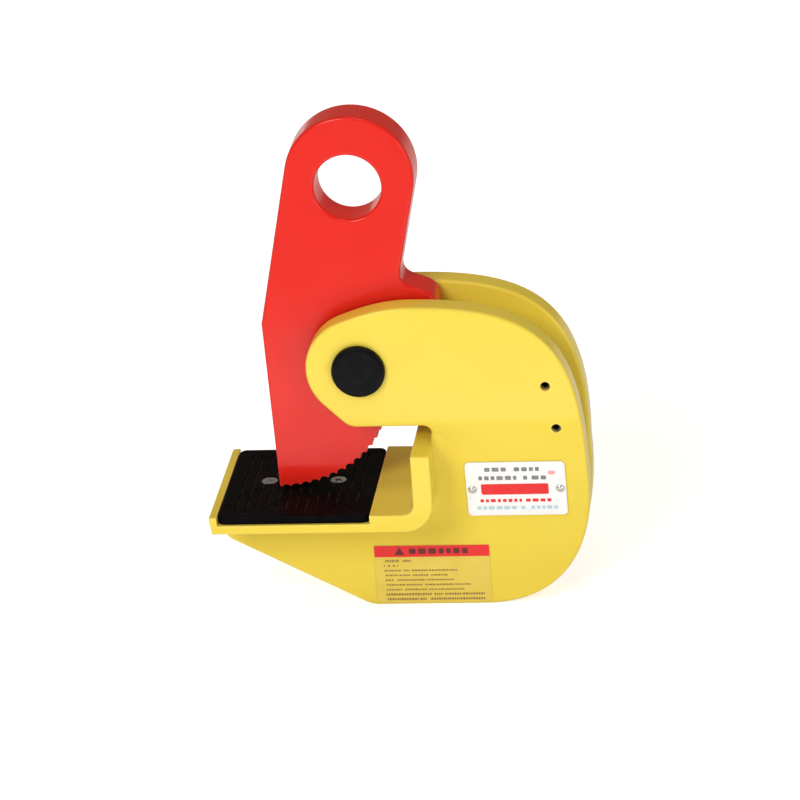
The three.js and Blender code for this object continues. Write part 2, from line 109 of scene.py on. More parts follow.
# ---- mesh helpers ----
def new_object(name, bm, materials, body):
    """Turns a bmesh into a piece that rides on a body."""
    mesh = bpy.data.meshes.new(name)
    bm.to_mesh(mesh)
    bm.free()
    for polygon in mesh.polygons:
        polygon.use_smooth = True
    piece = bpy.data.objects.new(name, mesh)
    bpy.context.scene.collection.objects.link(piece)
    for material in materials:
        mesh.materials.append(material)
    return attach(piece, body)


def weigh_normals(piece):
    """Lets the flat faces set the shading, so that the rounded edges blend into them."""
    weigh = piece.modifiers.new("face_weighted_shading", "WEIGHTED_NORMAL")
    weigh.mode = "FACE_AREA"
    weigh.weight = 90
    weigh.keep_sharp = True


def clean_copy(node):
    """A bmesh of a CAD node with its flat faces whole again."""
    bm = bmesh.new()
    bm.from_mesh(NODES[node].data)
    bmesh.ops.remove_doubles(bm, verts=bm.verts, dist=0.002 * MM)
    bmesh.ops.dissolve_limit(bm, angle_limit=FLAT, verts=bm.verts, edges=bm.edges)
    return bm


def sharp_edges(bm, wanted):
    """The edges of a real corner whose middle passes a test."""
    found = []
    for edge in bm.edges:
        if len(edge.link_faces) == 2 and edge.calc_face_angle(0) > SHARP:
            if wanted((edge.verts[0].co + edge.verts[1].co) / 2, edge):
                found.append(edge)
    return found


def round_edges(bm, width, wanted, segments):
    """Bevels the sharp edges that pass a test."""
    edges = sharp_edges(bm, wanted)
    if edges:
        bmesh.ops.bevel(
            bm, geom=edges, offset=width, offset_type="OFFSET", affect="EDGES",
            segments=segments, profile=0.5, clamp_overlap=False, loop_slide=True,
        )


def finished(node, material, body, steps):
    """A copy of a CAD node with its edges rounded; each step is (width, test, segments)."""
    bm = clean_copy(node)
    for width, wanted, segments in steps:
        round_edges(bm, width, wanted, segments)
    bmesh.ops.recalc_face_normals(bm, faces=bm.faces)
    return plate_piece(node, bm, material, body)


# ---- plates with rounded edges, rebuilt over the outlines of the CAD nodes ----
def merged_copy(node):
    """A bmesh of a CAD node with its doubled vertices merged and every facet kept."""
    bm = bmesh.new()
    bm.from_mesh(NODES[node].data)
    bmesh.ops.remove_doubles(bm, verts=bm.verts, dist=0.002 * MM)
    bm.normal_update()
    return bm


def outlines(node, side):
    """The closed outlines, as (x, z) pairs, of a node's faces that look along Y to one side."""
    bm = merged_copy(node)
    chosen = {f for f in bm.faces if f.normal.y * side > 0.8}
    border = [e for e in bm.edges if sum(f in chosen for f in e.link_faces) == 1]
    links = {}
    for edge in border:
        a, b = edge.verts
        links.setdefault(a, []).append(b)
        links.setdefault(b, []).append(a)
    loops = []
    while links:
        start = next(iter(links))
        loop, here = [start], links[start][0]
        links[start].remove(here)
        links[here].remove(start)
        while here is not start:
            loop.append(here)
            there = links[here].pop()
            links[there].remove(here)
            here = there
        loops.append([(v.co.x, v.co.z) for v in loop])
        links = {v: rest for v, rest in links.items() if rest}
    bm.free()
    return [straightened(loop) for loop in loops]


def straightened(loop, slack=0.004 * MM):
    """Drops the points that lie on the line between their neighbours."""
    kept = []
    for i, point in enumerate(loop):
        before = kept[-1] if kept else loop[i - 1]
        after = loop[(i + 1) % len(loop)]
        ax, az = point[0] - before[0], point[1] - before[1]
        bx, bz = after[0] - before[0], after[1] - before[1]
        span = math.hypot(bx, bz) or 1
        if abs(ax * bz - az * bx) / span > slack:
            kept.append(point)
    return kept


def signed_area(loop):
    """The area inside an outline, negative if it runs the other way round."""
    return sum(a[0] * b[1] - b[0] * a[1] for a, b in zip(loop, loop[1:] + loop[:1])) / 2


def softened(loop, radius_at, steps=4):
    """Rounds the corners of an outline that turn sharply outwards."""
    out = []
    for i, point in enumerate(loop):
        here = Vector(point)
        back = Vector(loop[i - 1]) - here
        ahead = Vector(loop[(i + 1) % len(loop)]) - here
        turn = math.pi - back.angle(ahead)
        radius = radius_at(point)
        reach = min(radius * math.tan(turn / 2), 0.4 * back.length, 0.4 * ahead.length)
        if turn < 0.5 or radius <= 0 or reach < 0.02 * MM:
            out.append(point)
            continue
        one, two = here + back.normalized() * reach, here + ahead.normalized() * reach
        for k in range(steps + 1):
            t = k / steps
            spot = one * (1 - t) ** 2 + here * (2 * t * (1 - t)) + two * t * t
            out.append((spot.x, spot.y))
    return out


def eased(loop, radii):
    """Limits how fast the rounding may grow from one point of an outline to the next."""
    count = len(loop)
    for _ in range(3):
        for order in (range(count), range(count - 1, -1, -1)):
            step = 1 if order.step > 0 else -1
            for i in order:
                j = (i - step) % count
                gap = math.dist(loop[i], loop[j])
                radii[i] = min(radii[i], radii[j] + 0.4 * gap)
    return radii


def inward(loop):
    """For each point, the direction into the material, longer where the outline turns."""
    result = []
    for i, point in enumerate(loop):
        before, after = loop[i - 1], loop[(i + 1) % len(loop)]
        a = Vector((point[0] - before[0], point[1] - before[1])).normalized()
        b = Vector((after[0] - point[0], after[1] - point[1])).normalized()
        na, nb = Vector((-a.y, a.x)), Vector((-b.y, b.x))
        mean = (na + nb).normalized()
        result.append(mean / max(0.6, mean.dot(na)))
    return result


def slab(loops, y_low, y_high, edge_at, segments=4):
    """A flat plate between two Y values over outlines with holes, its rim edges rounded."""
    bm = bmesh.new()
    ordered = sorted(loops, key=lambda loop: -abs(signed_area(loop)))
    caps = {-1: [], 1: []}
    for index, loop in enumerate(ordered):
        if (signed_area(loop) > 0) != (index == 0):
            loop = loop[::-1]
        radii = eased(loop, [edge_at(point) for point in loop])
        into = inward(loop)
        rings = []
        for side, y in ((-1, y_low), (1, y_high)):
            levels = range(segments, -1, -1) if side < 0 else range(segments + 1)
            for k in levels:
                angle = math.pi / 2 * k / segments
                ring = []
                for point, n, r in zip(loop, into, radii):
                    inset = r * (1 - math.cos(angle))
                    depth = y - side * r * (1 - math.sin(angle))
                    ring.append(bm.verts.new((point[0] + n.x * inset, depth, point[1] + n.y * inset)))
                rings.append(ring)
        for one, two in zip(rings, rings[1:]):
            for i in range(len(loop)):
                j = (i + 1) % len(loop)
                bm.faces.new((one[i], one[j], two[j], two[i]))
        caps[-1].append(rings[0])
        caps[1].append(rings[-1])
    for rings in caps.values():
        edges = [bm.edges.get((ring[i - 1], ring[i])) for ring in rings for i in range(len(ring))]
        bmesh.ops.triangle_fill(bm, use_beauty=True, edges=edges)
    bmesh.ops.recalc_face_normals(bm, faces=bm.faces)
    return bm


def mark_corners(bm, limit=math.radians(38)):
    """Keeps the shading split at every edge that turns more than a limit."""
    for edge in bm.edges:
        if len(edge.link_faces) == 2 and edge.calc_face_angle(0) > limit:
            edge.smooth = False


def plate_piece(node, bm, material, body):
    """Turns a plate's mesh into the piece that replaces a node, its faces looking outwards."""
    if bm.calc_volume(signed=True) < 0:
        bmesh.ops.reverse_faces(bm, faces=bm.faces)  # a mirrored plate comes out inside out
    mark_corners(bm)
    piece = new_object(node + "_finished", bm, [material], body)
    weigh_normals(piece)
    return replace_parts(piece, node)


def surface_profile(node, side):
    """How a bent plate's face on one side runs: (z, y) pairs from bottom to top."""
    bm = merged_copy(node)
    spots = {}
    for face in bm.faces:
        if face.normal.y * side > 0.8:
            for v in face.verts:
                if not in_rivet_hole((v.co.x, v.co.z)):
                    spots[round(v.co.z, 6)] = v.co.y
    bm.free()
    return sorted(spots.items())


def around(spot, node, radius):
    """True if an (x, z) spot is within a radius of a node's middle."""
    centre = MIDDLES[node]
    return math.hypot(spot[0] - centre.x, spot[1] - centre.z) < radius


def in_rivet_hole(spot):
    return any(around(spot, f"nameplate_rivet_{end}", 4 * MM) for end in ("left", "right"))


def follow(profile, z):
    """The y of a profile at a height, on straight lines between its points."""
    if z <= profile[0][0]:
        return profile[0][1]
    for (z0, y0), (z1, y1) in zip(profile, profile[1:]):
        if z <= z1:
            return y0 + (y1 - y0) * (z - z0) / max(1e-9, z1 - z0)
    return profile[-1][1]


# ---- node helpers ----
class Tree:
    """A material's node tree, with short names for the nodes this scene uses."""

    def __init__(self, name):
        self.material = bpy.data.materials.new(name)
        self.material.use_nodes = True
        self.nodes = self.material.node_tree.nodes
        self.links = self.material.node_tree.links
        self.shader = self.nodes["Principled BSDF"]
        self.place = self.nodes.new("ShaderNodeTexCoord").outputs["Object"]

    def feed(self, socket, value):
        """Links a node's output to a socket, or sets the socket to a plain value."""
        if isinstance(value, bpy.types.NodeSocket):
            self.links.new(value, socket)
        elif isinstance(value, tuple) and len(value) == 3 and socket.type == "RGBA":
            socket.default_value = (*value, 1)
        else:
            socket.default_value = value

    def set(self, **values):
        for key, value in values.items():
            self.feed(self.shader.inputs[key.replace("_", " ")], value)

    def noise(self, scale, detail=3.0, rough=0.55, stretch=None):
        node = self.nodes.new("ShaderNodeTexNoise")
        node.inputs["Scale"].default_value = scale
        node.inputs["Detail"].default_value = detail
        node.inputs["Roughness"].default_value = rough
        place = self.place
        if stretch:
            mapping = self.nodes.new("ShaderNodeMapping")
            mapping.inputs["Scale"].default_value = stretch
            self.links.new(place, mapping.inputs["Vector"])
            place = mapping.outputs["Vector"]
        self.links.new(place, node.inputs["Vector"])
        return node.outputs["Fac"]

    def cells(self, scale):
        node = self.nodes.new("ShaderNodeTexVoronoi")
        node.inputs["Scale"].default_value = scale
        self.links.new(self.place, node.inputs["Vector"])
        return node.outputs["Distance"]

    def math(self, operation, a, b=0.0):
        node = self.nodes.new("ShaderNodeMath")
        node.operation = operation
        self.feed(node.inputs[0], a)
        self.feed(node.inputs[1], b)
        return node.outputs[0]

    def spread(self, value, low, high, to_low=0.0, to_high=1.0):
        """Maps low..high to to_low..to_high, held at both ends."""
        node = self.nodes.new("ShaderNodeMapRange")
        node.clamp = True
        self.feed(node.inputs["Value"], value)
        self.feed(node.inputs["From Min"], low)
        self.feed(node.inputs["From Max"], high)
        self.feed(node.inputs["To Min"], to_low)
        self.feed(node.inputs["To Max"], to_high)
        return node.outputs["Result"]

    def blend(self, share, a, b):
        node = self.nodes.new("ShaderNodeMix")
        node.data_type = "RGBA"
        self.feed(node.inputs["Factor"], share)
        self.feed(node.inputs[6], a)
        self.feed(node.inputs[7], b)
        return node.outputs[2]

    def axis(self, name):
        node = self.nodes.new("ShaderNodeSeparateXYZ")
        self.links.new(self.place, node.inputs[0])
        return node.outputs[name]

    def facing_up(self):
        """1 on faces that look up, 0 on the rest."""
        plain = self.nodes.new("ShaderNodeNewGeometry")
        split = self.nodes.new("ShaderNodeSeparateXYZ")
        self.links.new(plain.outputs["Normal"], split.inputs[0])
        return self.spread(split.outputs["Z"], 0.5, 0.9)

    def edges(self, radius):
        """1 on outer edges and inner corners, 0 on open faces."""
        turned = self.nodes.new("ShaderNodeBevel")
        turned.samples = 4
        turned.inputs["Radius"].default_value = radius
        plain = self.nodes.new("ShaderNodeNewGeometry")
        dot = self.nodes.new("ShaderNodeVectorMath")
        dot.operation = "DOT_PRODUCT"
        self.links.new(turned.outputs["Normal"], dot.inputs[0])
        self.links.new(plain.outputs["Normal"], dot.inputs[1])
        return self.spread(dot.outputs["Value"], 1.0, 0.82)

    def crevices(self, reach):
        """1 deep in corners, 0 in the open."""
        node = self.nodes.new("ShaderNodeAmbientOcclusion")
        node.samples = 6
        node.inputs["Distance"].default_value = reach
        return self.spread(node.outputs["AO"], 0.75, 0.2)

    def bump(self, height, depth, strength, below=None):
        node = self.nodes.new("ShaderNodeBump")
        node.inputs["Strength"].default_value = strength
        node.inputs["Distance"].default_value = depth
        self.feed(node.inputs["Height"], height)
        if below is not None:
            self.links.new(below, node.inputs["Normal"])
        return node.outputs["Normal"]


# ---- materials ----
ENAMEL_ROUGHNESS = 0.17


def enamel(name, colour, deep, edge_highlight_colour):
    """Sprayed enamel: orange peel, slow colour drift, a painted highlight along the edges, painted
    shade in the corners.
    """
    t = Tree(name)
    drift = t.spread(t.noise(16, 2), 0.35, 0.65)
    mottle = t.spread(t.noise(120, 4), 0.3, 0.7)
    base = t.blend(t.math("MULTIPLY", drift, 0.35), colour, deep)
    base = t.blend(t.math("MULTIPLY", mottle, 0.08), base, deep)
    edge = t.edges(1.6 * MM)
    patchy = t.spread(t.noise(210, 5, 0.7), 0.45, 0.62)
    cover = t.math("ADD", t.math("MULTIPLY", patchy, 0.45), 0.2)
    # painted highlight: the rounded edges are blended, in patches, towards a light colour that stands
    # in for the light they catch
    edge_highlight_mask = t.math("MULTIPLY", edge, cover)
    base = t.blend(edge_highlight_mask, base, edge_highlight_colour)
    # painted shade: corners are darkened towards a deep tone by ambient occlusion, standing in for
    # the shade that falls there
    painted_corner_shade = t.math("MULTIPLY", t.crevices(7 * MM), 0.25)
    base = t.blend(painted_corner_shade, base, tuple(0.45 * c for c in deep))
    rough = t.spread(t.noise(60, 4), 0.3, 0.7, ENAMEL_ROUGHNESS - 0.05, ENAMEL_ROUGHNESS + 0.07)
    rough = t.math("ADD", rough, t.math("MULTIPLY", edge_highlight_mask, 0.3))
    rough = t.math("ADD", rough, t.math("MULTIPLY", painted_corner_shade, 0.4))
    peel = t.bump(t.noise(520, 2, 0.5), 0.05 * MM, 0.5)
    wave = t.bump(t.noise(70, 1), 0.12 * MM, 0.35, below=peel)
    t.set(Base_Color=base, Roughness=rough, Normal=wave)
    t.set(Specular_IOR_Level=0.22, Coat_Weight=0.05, Coat_Roughness=0.05)
    return t.material


def bare_metal(name, colour, stained, rough):
    """Plated or bare metal: fine directional grain, blotches of stain, brighter rubbed edges."""
    t = Tree(name)
    blotch = t.spread(t.noise(140, 4), 0.4, 0.68)
    base = t.blend(t.math("MULTIPLY", blotch, 0.5), colour, stained)
    edge = t.edges(0.5 * MM)
    bright = tuple(min(1.0, c * 1.25 + 0.04) for c in colour)
    base = t.blend(t.math("MULTIPLY", edge, 0.6), base, bright)
    lines = t.noise(1.0, 3, 0.6, stretch=(900, 60, 900))
    uneven = t.spread(lines, 0.3, 0.7, rough - 0.08, rough + 0.1)
    uneven = t.math("ADD", uneven, t.math("MULTIPLY", blotch, 0.12))
    t.set(Base_Color=base, Metallic=1.0, Roughness=uneven)
    t.set(Normal=t.bump(lines, 0.02 * MM, 0.4))
    return t.material


def black_oxide(name):
    """Oiled black oxide: nearly black, slightly cloudy, with steel showing on the rubbed rim."""
    t = Tree(name)
    cloud = t.spread(t.noise(180, 4), 0.35, 0.7)
    base = t.blend(cloud, (0.0018, 0.0018, 0.0028), (0.0050, 0.0050, 0.0068))
    edge = t.math("MULTIPLY", t.edges(0.8 * MM), t.spread(t.noise(500, 4), 0.45, 0.6))
    base = t.blend(t.math("MULTIPLY", edge, 0.35), base, (0.16, 0.16, 0.17))
    rough = t.spread(t.noise(240, 4), 0.3, 0.7, 0.26, 0.40)
    rings = t.noise(420, 3)
    t.set(Base_Color=base, Roughness=rough, Specular_IOR_Level=0.07)
    t.set(Normal=t.bump(rings, 0.02 * MM, 0.5))
    return t.material


def pad_finish(name):
    """Hardened black insert: satin black, scuffed on the faces, with a painted brown reflection on
    the floors of its grooves.
    """
    t = Tree(name)
    cloud = t.spread(t.noise(90, 4), 0.35, 0.7)
    base = t.blend(cloud, (0.0016, 0.0015, 0.0020), (0.0045, 0.0040, 0.0050))
    scuffs = t.noise(1.0, 4, 0.7, stretch=(900, 45, 900))
    scuff = t.math("MULTIPLY", t.spread(scuffs, 0.62, 0.78), t.spread(t.noise(60, 2), 0.45, 0.65))
    base = t.blend(t.math("MULTIPLY", scuff, 0.15), base, (0.10, 0.08, 0.06))
    low = t.spread(t.axis("Z"), PAD_TOP - 0.25 * MM, PAD_TOP - 0.5 * MM)
    low = t.math("MULTIPLY", low, t.facing_up())
    # painted reflection: the groove floors are tinted brown, standing in for the yellow paint they
    # mirror
    painted_groove_reflection = t.math("MULTIPLY", low, t.spread(t.noise(150, 4), 0.4, 0.7))
    base = t.blend(painted_groove_reflection, base, (0.060, 0.026, 0.012))
    edge = t.math("MULTIPLY", t.edges(0.4 * MM), t.spread(t.noise(420, 4), 0.5, 0.65))
    base = t.blend(t.math("MULTIPLY", edge, 0.4), base, (0.13, 0.12, 0.12))
    rough = t.spread(t.noise(200, 4), 0.3, 0.7, 0.34, 0.5)
    t.set(Base_Color=base, Roughness=rough, Specular_IOR_Level=0.025)
    t.set(Normal=t.bump(t.noise(700, 3), 0.03 * MM, 0.5))
    return t.material


def plate_white(name):
    """White-coated aluminium plate: faint mottling, painted grey shade along its edges and fine
    handling scratches.
    """
    t = Tree(name)
    cloud = t.spread(t.noise(110, 4), 0.35, 0.7)
    base = t.blend(cloud, (0.90, 0.91, 0.93), (0.84, 0.85, 0.87))
    marks = t.spread(t.noise(1.0, 4, 0.7, stretch=(60, 60, 1400)), 0.68, 0.8)
    base = t.blend(t.math("MULTIPLY", marks, 0.3), base, (0.62, 0.63, 0.65))
    edge = t.edges(0.5 * MM)
    # painted shade: the plate's edges are greyed, standing in for the shading along its border
    base = t.blend(t.math("MULTIPLY", edge, 0.3), base, (0.66, 0.66, 0.64))
    rough = t.spread(t.noise(160, 4), 0.3, 0.7, 0.2, 0.34)
    t.set(Base_Color=base, Roughness=rough, Normal=t.bump(marks, 0.01 * MM, 0.4))
    t.set(Coat_Weight=0.3, Coat_Roughness=0.1)
    return t.material


def film(name):
    """Clear sticker film over the enamel: the paint's colour, a little paler, with faint bubbles."""
    t = Tree(name)
    cloud = t.spread(t.noise(70, 3), 0.35, 0.65)
    base = t.blend(cloud, (0.76, 0.58, 0.095), (0.72, 0.55, 0.08))
    bubbles = t.spread(t.cells(260), 0.12, 0.02)
    rough = t.spread(t.noise(140, 4), 0.3, 0.7, 0.3, 0.42)
    edge = t.edges(0.3 * MM)
    base = t.blend(t.math("MULTIPLY", edge, 0.25), base, (0.60, 0.46, 0.12))
    t.set(Base_Color=base, Roughness=rough, Normal=t.bump(bubbles, 0.02 * MM, 0.5))
    return t.material


def ink(name, colour, fade=0.25):
    """Printed ink: a little uneven in strength, with pinholes."""
    t = Tree(name)
    uneven = t.spread(t.noise(260, 4), 0.35, 0.7)
    pale = tuple(c + (0.9 - c) * fade for c in colour)
    base = t.blend(t.math("MULTIPLY", uneven, 0.5), colour, pale)
    holes = t.spread(t.noise(1600, 2), 0.68, 0.74)
    base = t.blend(t.math("MULTIPLY", holes, 0.5), base, pale)
    rough = t.spread(t.noise(300, 3), 0.3, 0.7, 0.32, 0.5)
    t.set(Base_Color=base, Roughness=rough, Normal=t.bump(uneven, 0.01 * MM, 0.4))
    return t.material


# the last colour of each enamel is its painted edge highlight, cream on the yellow and a lighter red
# on the red; the weld enamel's is close to its own colour, so its fillets show almost none
YELLOW = enamel("yellow_enamel", (0.81, 0.635, 0.074), (0.76, 0.55, 0.040), (0.92, 0.80, 0.34))
RED = enamel("red_enamel", (0.74, 0.020, 0.011), (0.64, 0.012, 0.008), (0.86, 0.13, 0.10))
WELD_YELLOW = enamel("weld_enamel", (0.81, 0.635, 0.074), (0.76, 0.55, 0.040), (0.80, 0.61, 0.065))
PAD_BLACK = pad_finish("pad_black")
OXIDE = black_oxide("black_oxide")
ZINC = bare_metal("zinc_plate", (0.66, 0.67, 0.68), (0.42, 0.42, 0.40), 0.28)
SPRING_STEEL = bare_metal("spring_steel", (0.12, 0.112, 0.105), (0.055, 0.045, 0.038), 0.42)
BRONZE = bare_metal("bronze", (0.62, 0.38, 0.15), (0.30, 0.16, 0.06), 0.36)
PLATE_WHITE = plate_white("plate_white")
FILM = film("decal_film")
INK_GREY = ink("ink_grey", (0.17, 0.18, 0.19))
INK_DARK = ink("ink_dark", (0.26, 0.16, 0.030), 0.10)
INK_BLACK = ink("ink_black", (0.13, 0.008, 0.010), 0.02)
INK_RED = ink("ink_red", (0.76, 0.014, 0.018), 0.02)
INK_PINK = ink("ink_pink", (0.80, 0.34, 0.36))
INK_BLUE = ink("ink_blue", (0.42, 0.60, 0.70))


# ---- the CAD nodes with rounded edges ----
def always(point, edge):
    """The test that lets every sharp edge be rounded."""
    return True


def loop_middle(loop):
    """The middle of an outline's box."""
    xs, zs = [p[0] for p in loop], [p[1] for p in loop]
    return ((min(xs) + max(xs)) / 2, (min(zs) + max(zs)) / 2)


def beside_base(point):
    """True where a cheek's edge runs along the base plate."""
    beyond = point[0] - BASE_HIGH.x
    return beyond < 1 * MM and BASE_LOW.z - 0.5 * MM < point[1] < BASE_HIGH.z + 1 * MM


def cheek(node, side):
    """A bent cheek: its flat outline is rounded first, then laid on the bent faces."""
    loops = [loop for loop in outlines(node, side) if not in_rivet_hole(loop_middle(loop))]

    def edge_at(point):
        if beside_base(point):
            return BORE_EDGE
        if around(point, "lever_bush", 12 * MM):
            return BORE_EDGE
        if around(point, "spring_pin_upper", 4 * MM) or around(point, "spring_pin_lower", 4 * MM):
            return BORE_EDGE
        return PLATE_EDGE

    outer, inner = surface_profile(node, side), surface_profile(node, -side)
    thick = abs(outer[0][1] - inner[0][1])
    bm = slab(loops, 0, thick, edge_at)
    lowest, highest = BASE_LOW.z - BEND_BELOW_BASE, BASE_HIGH.z + BEND_ABOVE_BASE
    for i in range(BEND_CUTS + 1):
        z = lowest + (highest - lowest) * i / BEND_CUTS
        everything = bm.verts[:] + bm.edges[:] + bm.faces[:]
        bmesh.ops.bisect_plane(
            bm, geom=everything, dist=1e-7, plane_co=(0, 0, z), plane_no=(0, 0, 1)
        )
    for v in bm.verts:
        share = v.co.y / thick
        z = v.co.z
        v.co.y = follow(inner, z) * (1 - share) + follow(outer, z) * share
    bmesh.ops.recalc_face_normals(bm, faces=bm.faces)
    return plate_piece(node, bm, YELLOW, BODY)


def on_cam(point):
    """True along the toothed edge of the lever."""
    reach = math.hypot(point[0] - PIVOT.x, point[1] - PIVOT.z)
    return 34 * MM < reach and point[1] < PIVOT.z - 20 * MM


def cam_lever():
    """The lever: softened corners on its body, crisp teeth on its cam."""
    low, high = BOXES["cam_lever"]

    def edge_at(point):
        if on_cam(point):
            return TOOTH_EDGE
        return BORE_EDGE if around(point, "lever_bush", 16 * MM) else LEVER_EDGE

    loops = outlines("cam_lever", 1)
    loops = [softened(loop, lambda point: 0 if on_cam(point) else 3 * MM) for loop in loops]
    return plate_piece("cam_lever", slab(loops, low.y, high.y, edge_at), RED, LEVER)


def drilled(bm, centres, radius, depth):
    """Cuts upright round holes through a mesh."""
    block = new_object("blank", bm, [], BODY)
    cutter = bmesh.new()
    for centre in centres:
        made = bmesh.ops.create_cone(
            cutter, cap_ends=True, segments=24, radius1=radius, radius2=radius, depth=depth
        )
        bmesh.ops.translate(cutter, verts=made["verts"], vec=centre)
    tool = new_object("drill", cutter, [], BODY)
    modifier = block.modifiers.new("holes", "BOOLEAN")
    modifier.object = tool
    modifier.solver = "EXACT"
    bpy.context.view_layer.update()
    shaped = block.evaluated_get(bpy.context.evaluated_depsgraph_get())
    result = bmesh.new()
    result.from_mesh(shaped.data)
    for piece in (block, tool):
        bpy.data.objects.remove(piece)
    return result


def base_plate():
    """The bent base plate with the pad's pocket and two screw holes."""
    inner_left, inner_right = PAD_LOW.x - 0.5 * MM, PAD_HIGH.x + 0.5 * MM

    def in_pocket(point):
        return inner_left < point[0] < inner_right and point[1] > BASE_LOW.z + 1 * MM

    def edge_at(point):
        return POCKET_EDGE if in_pocket(point) else BASE_EDGE

    loop = max(outlines("base_plate", 1), key=lambda loop: abs(signed_area(loop)))
    bm = slab([softened(loop, edge_at)], BASE_LOW.y, BASE_HIGH.y, edge_at)
    screws = [MIDDLES[f"pad_screw_{end}"] for end in ("left", "right")]
    bm = drilled(bm, screws, SCREW_HOLE_RADIUS, 30 * MM)
    return plate_piece("base_plate", bm, YELLOW, BODY)


cheek("front_cheek", -1)
cheek("rear_cheek", 1)
cam_lever()
base_plate()


def pad_rim(point, edge):
    """True along the outer rim of the jaw pad."""
    middle = (PAD_LOW + PAD_HIGH) / 2
    half = (PAD_HIGH - PAD_LOW) / 2
    rim = 3.5 * MM
    return abs(point.x - middle.x) > half.x - rim or abs(point.y - middle.y) > half.y - rim


finished("jaw_pad", PAD_BLACK, BODY, [
    (0.9 * MM, lambda point, edge: pad_rim(point, edge) and point.z > PAD_TOP - 0.1 * MM, 3),
    (SMALL_EDGE, lambda point, edge: not pad_rim(point, edge) and point.z > PAD_TOP - 0.1 * MM, 2),
])

for name, body, material, width in (
    ("pivot_pin", BODY, OXIDE, 0.3 * MM),
    ("lever_bush", LEVER, BRONZE, 0.25 * MM),
    ("front_thrust_washer", BODY, BRONZE, 0.25 * MM),
    ("rear_thrust_washer", BODY, BRONZE, 0.25 * MM),
    ("pin_end_washer", BODY, ZINC, 0.35 * MM),
    ("pin_retaining_ring", BODY, SPRING_STEEL, 0.15 * MM),
    ("spring_pin_upper", BODY, SPRING_STEEL, 0.12 * MM),
    ("spring_pin_lower", BODY, SPRING_STEEL, 0.12 * MM),
    ("pad_screw_left", BODY, ZINC, 0.15 * MM),
    ("pad_screw_right", BODY, ZINC, 0.15 * MM),
    ("nameplate", BODY, PLATE_WHITE, 0.2 * MM),
    ("nameplate_rivet_left", BODY, ZINC, 0.1 * MM),
    ("nameplate_rivet_right", BODY, ZINC, 0.1 * MM),
    ("safety_decal", BODY, FILM, 0.06 * MM),
):
    finished(name, material, body, [(width, always, 2)])


# ---- weld beads ----
def bead(name, path, outward, radius, replaced=()):
    """A painted weld bead along a path, with the overlapping ripples a moving weld pool leaves."""
    step, pitch, sides = 0.55 * MM, 2.6 * MM, 16
    points, outs = resample(path, outward, step)
    total = step * (len(points) - 1)
    wander = random.Random(SEED)
    phases = [wander.uniform(0, 6.28) for _ in range(3)]
    bm = bmesh.new()
    rings = []
    for i, (point, out) in enumerate(zip(points, outs)):
        s = i * step
        ahead = points[min(i + 1, len(points) - 1)] - points[max(i - 1, 0)]
        along = ahead.normalized()
        out = (out - along * out.dot(along)).normalized()
        side = along.cross(out)
        taper = math.sqrt(max(0.02, min(1.0, s / (1.6 * radius), (total - s) / (1.6 * radius))))
        slow = 0.05 * math.sin(s / (9 * MM) + phases[0])
        quick = 0.04 * math.sin(s / (4.1 * MM) + phases[1])
        swell = 1 + slow + quick
        ring = []
        for k in range(sides):
            angle = 2 * math.pi * k / sides
            lag = 0.9 * MM * (1 - math.cos(angle)) * 0.5
            wave = abs(math.sin(math.pi * (s + lag) / pitch + phases[2]))
            r = radius * taper * swell * (0.9 + 0.13 * wave)
            offset = out * (math.cos(angle) * r * 0.8) + side * (math.sin(angle) * r)
            ring.append(bm.verts.new(point + offset))
        rings.append(ring)
    for one, two in zip(rings, rings[1:]):
        for k in range(sides):
            n = (k + 1) % sides
            bm.faces.new((one[k], one[n], two[n], two[k]))
    bm.faces.new(list(reversed(rings[0])))
    bm.faces.new(rings[-1])
    bmesh.ops.recalc_face_normals(bm, faces=bm.faces)
    piece = new_object(name, bm, [WELD_YELLOW], BODY)
    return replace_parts(piece, *replaced) if replaced else piece


def resample(path, outward, step):
    """Points at equal steps along a path, with the outward direction blended between its corners."""
    points, outs = [path[0]], [outward[0]]
    for a, b, out_a, out_b in zip(path, path[1:], outward, outward[1:]):
        count = max(1, round((b - a).length / step))
        for j in range(1, count + 1):
            points.append(a.lerp(b, j / count))
            outs.append(out_a.lerp(out_b, j / count))
    return points, outs


CHEEK_SURFACE = {
    name: BVHTree.FromPolygons(
        [v.co.copy() for v in NODES[name].data.vertices],
        [tuple(p.vertices) for p in NODES[name].data.polygons],
    )
    for name in ("front_cheek", "rear_cheek")
}


def outer_face(name, x, z):
    """Where a cheek's outer face lies in Y at a place seen from its own side."""
    side = -1 if name == "front_cheek" else 1
    start = Vector((x, side * 0.2, z))
    hit = CHEEK_SURFACE[name].ray_cast(start, Vector((0, -side, 0)))[0]
    return hit.y if hit else None


def base_welds():
    """Fillets under the base plate, along the foot of each cheek."""
    for name, side in (("front", -1), ("rear", 1)):
        node = f"base_plate_weld_{name}"
        low, high = BOXES[node]
        z = BASE_LOW.z - 0.6 * MM
        path, outs = [], []
        out = Vector((0, side, -1)).normalized()
        x = low.x
        while x < high.x:
            y = outer_face(f"{name}_cheek", x + 0.1 * MM, z - 1 * MM)
            path.append(Vector((x, y + side * 0.5 * MM, z)))
            outs.append(out)
            x += 6 * MM
        bead(f"base_plate_bead_{name}", path, outs, 4.2 * MM, [node])


def bend_path():
    """Spots and outward directions round the base plate's bend and up behind its upright."""
    bend, lump, arc_steps = BASE_BEND_RADIUS, 5 * MM, 16
    centre = Vector((BASE_HIGH.x - bend, 0, BASE_LOW.z + bend))
    path = []
    for k in range(arc_steps + 1):
        angle = -math.pi / 2 + math.pi / 2 * k / arc_steps
        out = Vector((math.cos(angle), 0, math.sin(angle)))
        path.append((centre + out * bend, out, min(1, 0.35 + k / 12)))
    top = BASE_HIGH.z + lump
    count = 28
    for k in range(1, count + 1):
        z = centre.z + (top - centre.z) * k / count
        past = max(0, (z - top + 2 * lump) / (2 * lump))
        size = math.sqrt(max(0, 1 - past * past))
        path.append((Vector((BASE_HIGH.x, 0, z)), Vector((1, 0, 0)), max(0.05, size)))
    return path


